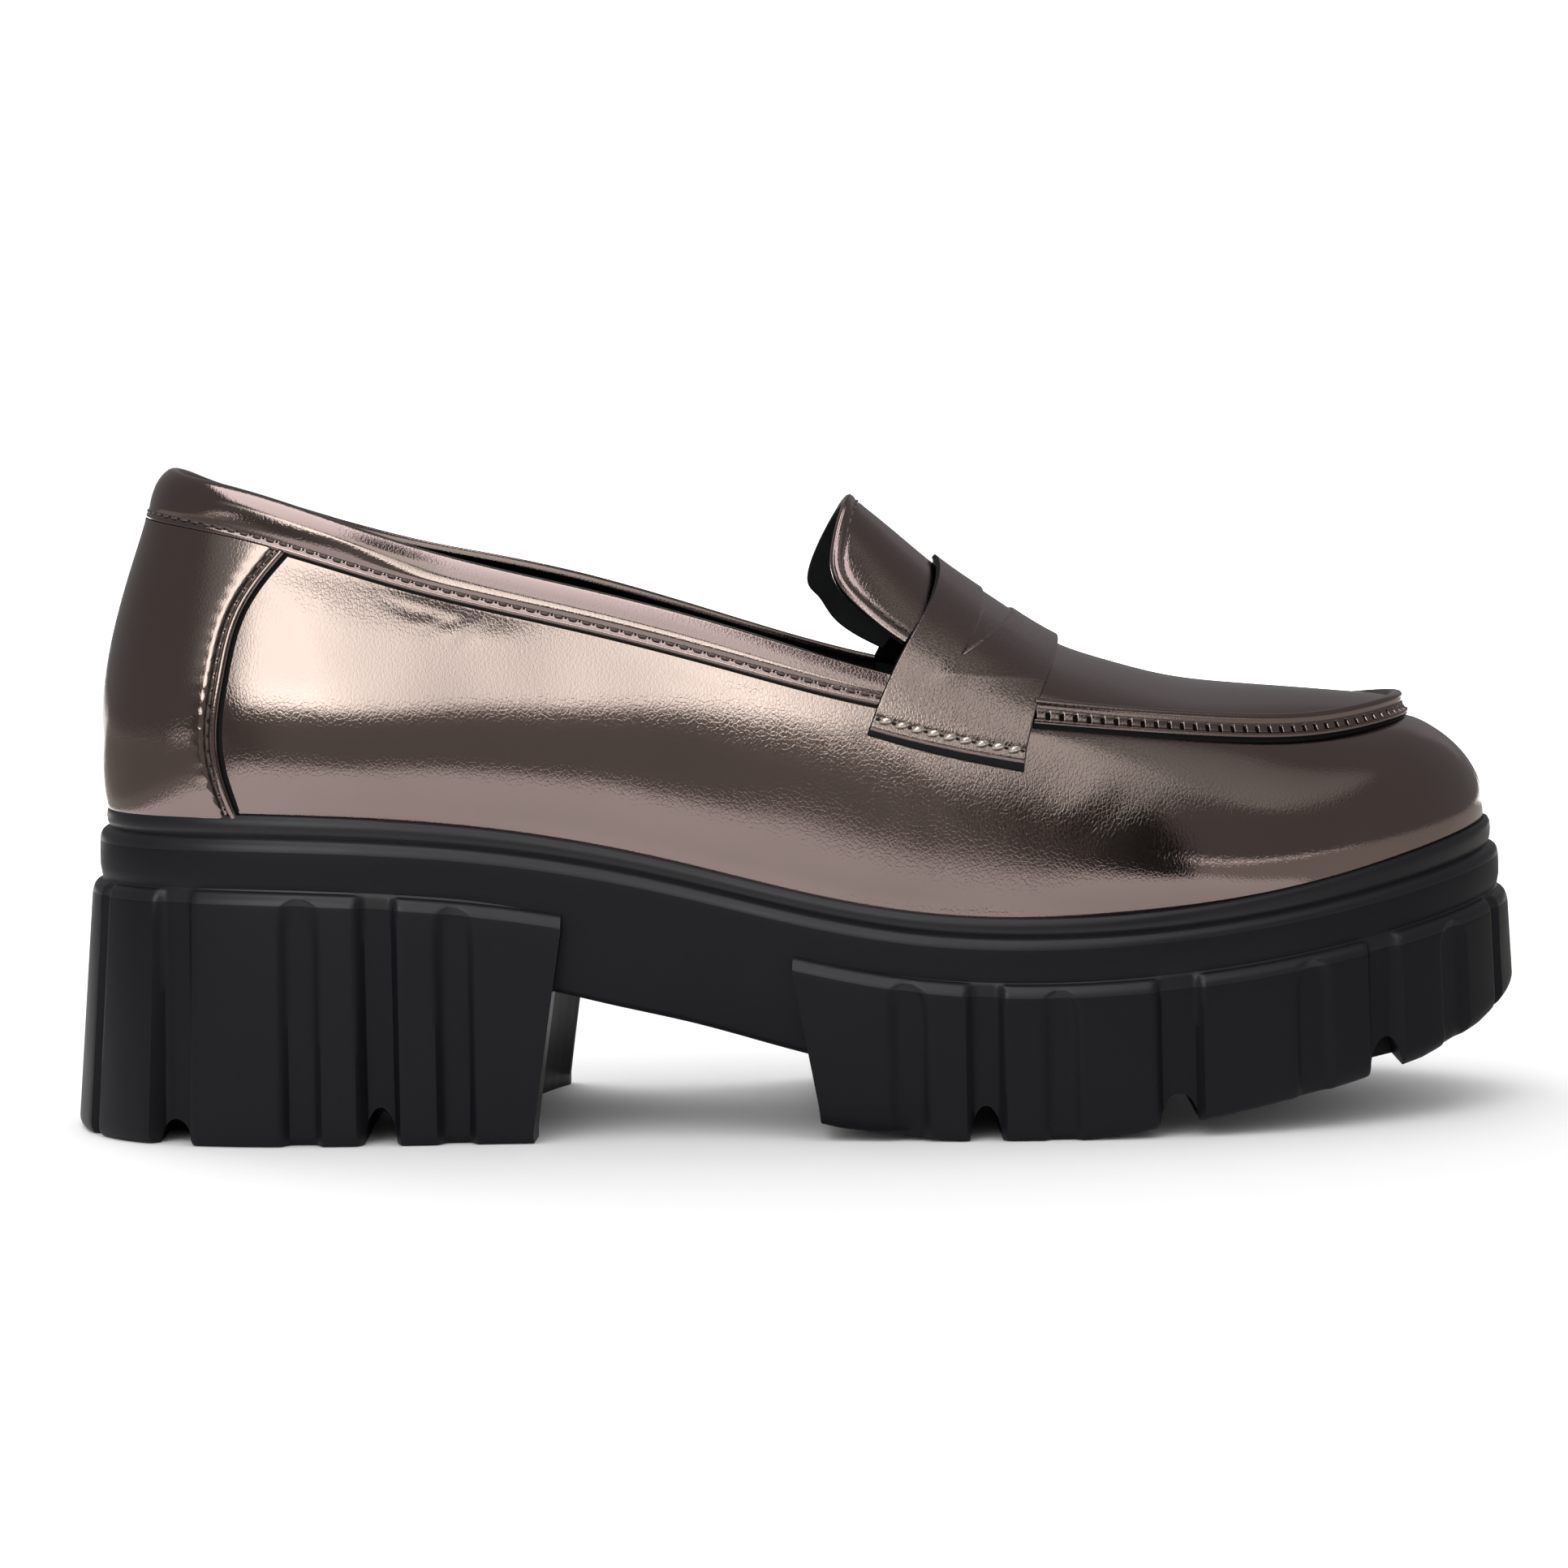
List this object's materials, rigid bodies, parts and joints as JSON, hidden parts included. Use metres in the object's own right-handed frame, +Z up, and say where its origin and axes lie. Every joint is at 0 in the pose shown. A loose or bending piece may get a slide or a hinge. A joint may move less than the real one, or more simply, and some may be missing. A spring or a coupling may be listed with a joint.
{
  "type": "heeled loafer",
  "caption": "Right penny loafer with a hollow pewter leather upper, saddle strap, tongue and raised apron seam on a black lugged platform sole with a block heel.",
  "frame": {"origin": "on the floor, under the middle of the shoe's bounding box", "axes": "+X from heel to toe, +Y to the inner side of the foot, +Z up"},
  "size_m": [0.2744, 0.0964, 0.1247],
  "materials": {
    "black_rubber": "satin black moulded rubber",
    "pewter_leather": "grained leather with a pewter metal foil",
    "black_lining": "matt black lining leather"
  },
  "bodies": {
    "root": {"sole_unit": "black_rubber", "insole": "black_lining", "upper": "pewter_leather", "heel_counter": "pewter_leather", "collar_band": "pewter_leather", "apron_seam": "pewter_leather", "saddle_strap": "pewter_leather", "tongue": "pewter_leather"}
  },
  "joints": []
}
